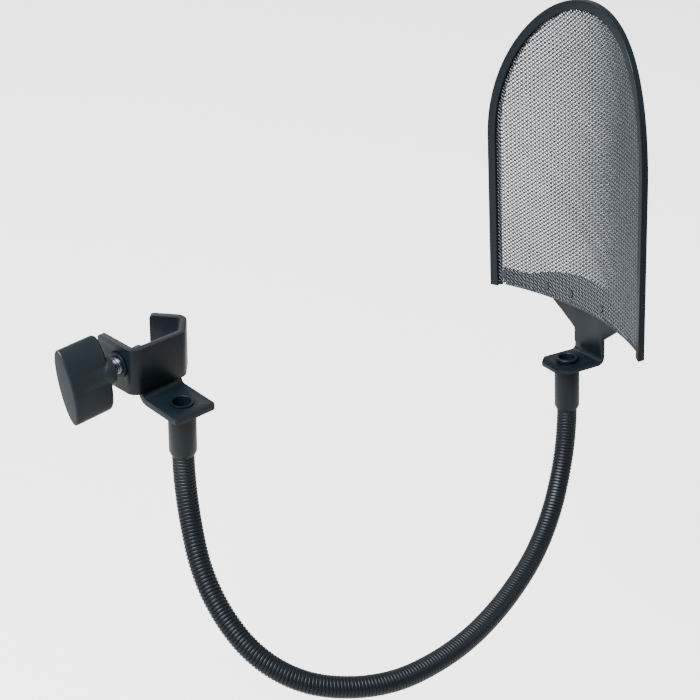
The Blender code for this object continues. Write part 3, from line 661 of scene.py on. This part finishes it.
def weave_tree():
    """One set of a weave's wires on the rolled sheet, leaning one way, clipped to the arch."""
    tree = bpy.data.node_groups.new("bias_weave", "GeometryNodeTree")
    tree.interface.new_socket("Host", in_out="INPUT", socket_type="NodeSocketGeometry")
    for name in ("Step along", "Step across"):
        tree.interface.new_socket(name, in_out="INPUT", socket_type="NodeSocketVector")
    for name in ("Wire diameter", "Side", "Shift", "Roll radius"):
        tree.interface.new_socket(name, in_out="INPUT", socket_type="NodeSocketFloat")
    for name in ("Half width", "Bottom", "Spring", "Rise", "Top"):
        tree.interface.new_socket(name, in_out="INPUT", socket_type="NodeSocketFloat")
    tree.interface.new_socket("Wires", in_out="INPUT", socket_type="NodeSocketInt")
    tree.interface.new_socket("Finish", in_out="INPUT", socket_type="NodeSocketMaterial")
    tree.interface.new_socket("Mesh", in_out="OUTPUT", socket_type="NodeSocketGeometry")
    given = add_node(tree, "NodeGroupInput").outputs

    def math(operation, a, b=0.0):
        return add_node(tree, "ShaderNodeMath", {0: a, 1: b}, operation=operation).outputs[0]

    def vector(x=0.0, y=0.0, z=0.0):
        return add_node(tree, "ShaderNodeCombineXYZ", {"X": x, "Y": y, "Z": z}).outputs[0]

    low = math("MULTIPLY", math("SUBTRACT", given["Wires"], 1.0), -0.5)
    line = {"Count": given["Wires"], "Start Location": vector(x=low), "Offset": (1.0, 0.0, 0.0)}
    wire = add_node(tree, "GeometryNodeMeshLine", line).outputs[0]
    line = {"Count": given["Wires"], "Start Location": vector(y=low), "Offset": (0.0, 1.0, 0.0)}
    starts = add_node(tree, "GeometryNodeMeshLine", line).outputs[0]
    laid = add_node(tree, "GeometryNodeInstanceOnPoints", {"Points": starts, "Instance": wire}).outputs[0]
    wires = add_node(tree, "GeometryNodeRealizeInstances", {"Geometry": laid}).outputs[0]
    number = add_node(
        tree, "ShaderNodeSeparateXYZ", {0: add_node(tree, "GeometryNodeInputPosition").outputs[0]}
    ).outputs
    odd = math("FLOORED_MODULO", math("ROUND", math("ADD", number["X"], number["Y"])), 2.0)
    over = math("SUBTRACT", math("MULTIPLY", odd, 2.0), 1.0)
    shares = [
        add_node(
            tree, "ShaderNodeVectorMath", {0: given[step], "Scale": number[axis]}, operation="SCALE"
        ).outputs[0]
        for step, axis in (("Step along", "X"), ("Step across", "Y"))
    ]
    sheet = add_node(tree, "ShaderNodeVectorMath", {0: shares[0], 1: shares[1]}).outputs[0]
    sheet = add_node(tree, "ShaderNodeSeparateXYZ", {0: sheet}).outputs
    across = math("ADD", sheet["X"], given["Shift"])
    top = math("ADD", given["Spring"], given["Rise"])
    middle = math("MULTIPLY", math("ADD", top, given["Bottom"]), 0.5)
    height = math("ADD", sheet["Y"], middle)
    step_over = math("MULTIPLY", given["Wire diameter"], WEAVE_LIFT)
    lift = math("MULTIPLY", math("MULTIPLY", over, given["Side"]), step_over)
    angle = math("DIVIDE", across, given["Roll radius"])
    radius = math("ADD", given["Roll radius"], lift)
    sideways = math("MULTIPLY", math("SINE", angle), radius)
    place = vector(sideways, math("MULTIPLY", math("COSINE", angle), radius), height)
    above = math("DIVIDE", math("MAXIMUM", math("SUBTRACT", height, given["Spring"]), 0.0), given["Rise"])
    aside = math("ABSOLUTE", math("DIVIDE", sideways, given["Half width"]))
    level = math("ADD", math("POWER", above, 2.0), math("POWER", aside, 2.0))
    outside = math("MAXIMUM", math("GREATER_THAN", level, 1.0), math("LESS_THAN", height, given["Bottom"]))
    outside = math("MAXIMUM", outside, math("GREATER_THAN", height, given["Top"]))
    cut = add_node(
        tree, "GeometryNodeDeleteGeometry", {"Geometry": wires, "Selection": outside}, domain="POINT"
    ).outputs[0]
    rolled = add_node(tree, "GeometryNodeSetPosition", {"Geometry": cut, "Position": place}).outputs[0]
    curve = add_node(tree, "GeometryNodeMeshToCurve", {"Mesh": rolled}).outputs[0]
    section = add_node(
        tree,
        "GeometryNodeCurvePrimitiveCircle",
        {"Resolution": 6, "Radius": math("MULTIPLY", given["Wire diameter"], 0.5)},
    ).outputs[0]
    drawn = add_node(
        tree, "GeometryNodeCurveToMesh", {"Curve": curve, "Profile Curve": section, "Fill Caps": True}
    ).outputs[0]
    real = add_node(tree, "GeometryNodeRealizeInstances", {"Geometry": drawn}).outputs[0]
    last = add_node(
        tree, "GeometryNodeSetMaterial", {"Geometry": real, "Material": given["Finish"]}
    ).outputs[0]
    add_node(tree, "NodeGroupOutput", {0: last})
    return tree


weave = weave_tree()
rolled_place = shield_end @ Matrix.Translation((0, STEM_FROM_RIVET - PLATE_RADIUS, 0))


def woven(side, shift, radius, half_width, bottom, top):
    """One set of wires as a plain mesh, in its place on the shield."""
    steps = (RISING_STEP, FALLING_STEP)[::side]
    inputs = {
        "Step along": steps[0],
        "Step across": steps[1],
        "Wire diameter": WIRE_DIAMETER,
        "Side": float(side),
        "Shift": shift,
        "Roll radius": radius,
        "Half width": half_width,
        "Bottom": bottom,
        "Spring": RIM_SPRING,
        "Rise": RIM_RISE - RIM_WALL,
        "Top": top,
        "Wires": WIRES,
        "Finish": coated_wire,
    }
    mesh = grown("wires", weave, inputs, polyline([(0, 0, 0), (0, 0, 1)]), rolled_place)
    mesh.shade_smooth()
    return mesh


mesh_half_width = on_plan(RIM_HALF_WIDTH - RIM_WALL - SEAT)
for side, name in ((1, "rising"), (-1, "falling")):
    wires = woven(side, 0.0, MESH_RADIUS, mesh_half_width, MESH_BOTTOM, 1.0)
    show(f"mesh_wires_{name}", wires, coated_wire, "shield", "woven_wire", "mesh_screen")

# Hem: the mesh's lower edge, folded once behind itself, so that two layers of coated wire lie out of step.
# It stiffens the edge, and reads as a dark band from rim to rim.

HEM_HEIGHT = 0.0085
RIM_FACE = 0.0046
hem_radius = MESH_RADIUS + WIRE_LAYER + SEAT
hem_half_width = on_plan(RIM_HALF_WIDTH - RIM_FACE - 2 * SEAT)
hem_shift = RISING_STEP[0]  # a whole step, level, puts both sets half a pitch out
for side, name in ((1, "rising"), (-1, "falling")):
    wires = woven(side, hem_shift, hem_radius, hem_half_width, MESH_BOTTOM, MESH_BOTTOM + HEM_HEIGHT)
    show(f"hem_wires_{name}", wires, coated_wire, "shield", "woven_wire", "mesh_hem")

# Fold: every wire of the mesh turns back round its lower edge, side by side with the next.
# Coated together, they read as one thin ribbed edge from rim to rim.

FOLD_STEPS = 48
fold_middle = MESH_RADIUS + (WIRE_LAYER + SEAT) / 2
fold_reach = hem_half_width / fold_middle
fold_turns = [fold_reach * (2 * i / FOLD_STEPS - 1) for i in range(FOLD_STEPS + 1)]
fold_route = [(fold_middle * sin(a), fold_middle * cos(a), MESH_BOTTOM) for a in fold_turns]
fold_count = int(2 * hem_half_width / RISING_STEP[0]) - 1
fold = {
    "Radius": (WIRE_LAYER + SEAT + WIRE_DIAMETER) / 2,
    "Pitch": RISING_STEP[0],
    "Groove depth": WIRE_DIAMETER / 3,
    "Groove sharpness": 2.0,
    "Start": 0.0,
    "Length": fold_count * RISING_STEP[0],
    "Rings": fold_count * RINGS_PER_TURN + 1,
    "Sides": 12,
    "Finish": coated_wire,
}
fold_mesh = capped(grown("fold", wound, fold, polyline(fold_route), rolled_place))
show("hem_fold", fold_mesh, coated_wire, "shield", "woven_wire")

# Spot welds: four places where an electrode has pressed mesh, hem and fan into one.
# Each is a small flat disc of squashed, coated wire.

WELD_RADIUS = 0.0017
WELD_THICKNESS = 0.0005
WELD_EDGE = 0.0003
WELDS = ((-0.0565, 0.0292), (-0.0283, 0.0290), (-0.0106, 0.0300), (0.0147, 0.0300))  # sideways, height
weld = [(0, 0), (WELD_RADIUS, 0), (WELD_RADIUS, WELD_THICKNESS), (0, WELD_THICKNESS)]
for i, (across, height) in enumerate(WELDS):
    angle = across / MESH_RADIUS
    out = Matrix.Rotation(-angle, 4, "Z") @ Matrix.Translation((0, MESH_RADIUS - WIRE_DIAMETER, height))
    place = rolled_place @ out @ Matrix.Rotation(-pi / 2, 4, "X")
    weld_mesh = turned(rounded(weld, WELD_EDGE, False), place, 24, False)
    show(f"weld_{i + 1}", weld_mesh, coated_wire, "shield", "woven_wire")

# Rim: a strip of sheet steel folded to a U and pressed round the mesh's edge, over its top and sides.
# Coated like the brackets. Its two faces grip the wires, and its ends are cut just below the mesh.

RIM_TAIL = 0.0015
RIM_CORNER = 0.0006
RIM_STEPS = 64
SIDE_STEPS = 8
groove = WIRE_LAYER / 2 + SEAT
rim_depth = groove + RIM_WALL
channel = [(RIM_FACE, rim_depth), (0, rim_depth), (0, -rim_depth), (RIM_FACE, -rim_depth)]
channel += [(RIM_FACE, -groove), (RIM_WALL, -groove), (RIM_WALL, groove), (RIM_FACE, groove)]
channel = rounded(channel, RIM_CORNER, steps=4)


def rim_point(station, inset, offset):
    """A point of the rim: station along the arch, inset from its edge, offset from the mesh's layer."""
    side = on_plan(RIM_HALF_WIDTH - inset)
    foot = MESH_BOTTOM - RIM_TAIL
    if station < 0:
        across, height = side, RIM_SPRING + station * (RIM_SPRING - foot)
    elif station > 1:
        across, height = -side, RIM_SPRING - (station - 1) * (RIM_SPRING - foot)
    else:
        across = side * cos(pi * station)
        height = RIM_SPRING + (RIM_RISE - inset) * sin(pi * station)
    radius = MESH_RADIUS + offset
    return Vector((across, sqrt(radius**2 - across**2), height))


stations = [-1 + i / SIDE_STEPS for i in range(SIDE_STEPS)]
stations += [i / RIM_STEPS for i in range(RIM_STEPS + 1)]
stations += [1 + (i + 1) / SIDE_STEPS for i in range(SIDE_STEPS)]
rim_mesh = skinned([[rim_point(s, *p) for p in channel] for s in stations], rolled_place)
show("rim", rim_mesh, powder_coat, "shield", "powder_coat", "rim_channel")

# Studio: a plain matt floor, a soft light from above and the left, and two weak ones.
# The floor glows for the camera alone, so that it stays pale and the dark coats above it stay dark.

FLOOR_BELOW = 0.12
FLOOR_REACH = 6.0
FLOOR_GLOW = 2.3  # seen by the camera alone
WORLD_LIGHT = 0.5
LENS = 77.14
CAMERA_PLACE = (-0.33683, -0.45908, 0.33324)
CAMERA_HEADING = radians(45.417)  # from +X towards +Y
CAMERA_DIP = radians(30.435)  # below level
CAMERA_ROLL = radians(2.142)
SENSOR_WIDTH = 36.0
LIGHTS = (  # name, direction from the object's middle, distance, size and watts
    ("key", (-0.75, 0.0, 1.0), 1.3, 0.9, 85.0),
    ("fill", (1.0, -0.5, 0.4), 1.4, 0.6, 4.0),
    ("back", (0.3, 1.0, 0.6), 1.4, 0.8, 5.0),
)
lowest, highest = cad_box
floor_mesh = bpy.data.meshes.new("floor")
level = lowest.z - FLOOR_BELOW
corners = [(x * FLOOR_REACH, y * FLOOR_REACH, level) for x, y in ((-1, -1), (1, -1), (1, 1), (-1, 1))]
floor_mesh.from_pydata(corners, [], [(0, 1, 2, 3)])
floor = bpy.data.objects.new("floor", floor_mesh)
# Matt off-white, with nothing on it for the eye to rest on.
pale_floor = finish("pale_floor", "#B8B8B8", 0.9, 5.0, 0.0)
seen = add_node(pale_floor.node_tree, "ShaderNodeLightPath").outputs["Is Camera Ray"]
glow = add_node(pale_floor.node_tree, "ShaderNodeMath", {0: seen, 1: FLOOR_GLOW}, operation="MULTIPLY")
floor_shader = pale_floor.node_tree.nodes["Principled BSDF"]
floor_shader.inputs["Emission Color"].default_value = linear("#FFFFFF")
pale_floor.node_tree.links.new(glow.outputs[0], floor_shader.inputs["Emission Strength"])
floor_mesh.materials.append(pale_floor)
bpy.context.scene.collection.objects.link(floor)
floor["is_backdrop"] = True

world = bpy.data.worlds.new("studio")
world.use_nodes = True
world.node_tree.nodes["Background"].inputs["Color"].default_value = linear("#FFFFFF")
world.node_tree.nodes["Background"].inputs["Strength"].default_value = WORLD_LIGHT
bpy.context.scene.world = world
middle = (lowest + highest) / 2
for name, direction, distance, size, power in LIGHTS:
    light = bpy.data.lights.new(name, "AREA")
    light.energy, light.size = power, size
    lamp = bpy.data.objects.new(name, light)
    away = Vector(direction).normalized()
    lamp.location = middle + away * distance
    lamp.rotation_euler = away.to_track_quat("Z", "Y").to_euler()
    bpy.context.scene.collection.objects.link(lamp)

camera_data = bpy.data.cameras.new("camera")
camera_data.sensor_width, camera_data.lens = SENSOR_WIDTH, LENS
camera = bpy.data.objects.new("camera", camera_data)
facing = Matrix.Rotation(CAMERA_HEADING - pi / 2, 4, "Z") @ Matrix.Rotation(pi / 2 - CAMERA_DIP, 4, "X")
facing = facing @ Matrix.Rotation(CAMERA_ROLL, 4, "Z")
camera.matrix_world = Matrix.Translation(CAMERA_PLACE) @ facing
bpy.context.scene.collection.objects.link(camera)
bpy.context.scene.camera = camera

size = {"first": [list(corner) for corner in cad_box], "last": [list(corner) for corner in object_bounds()]}
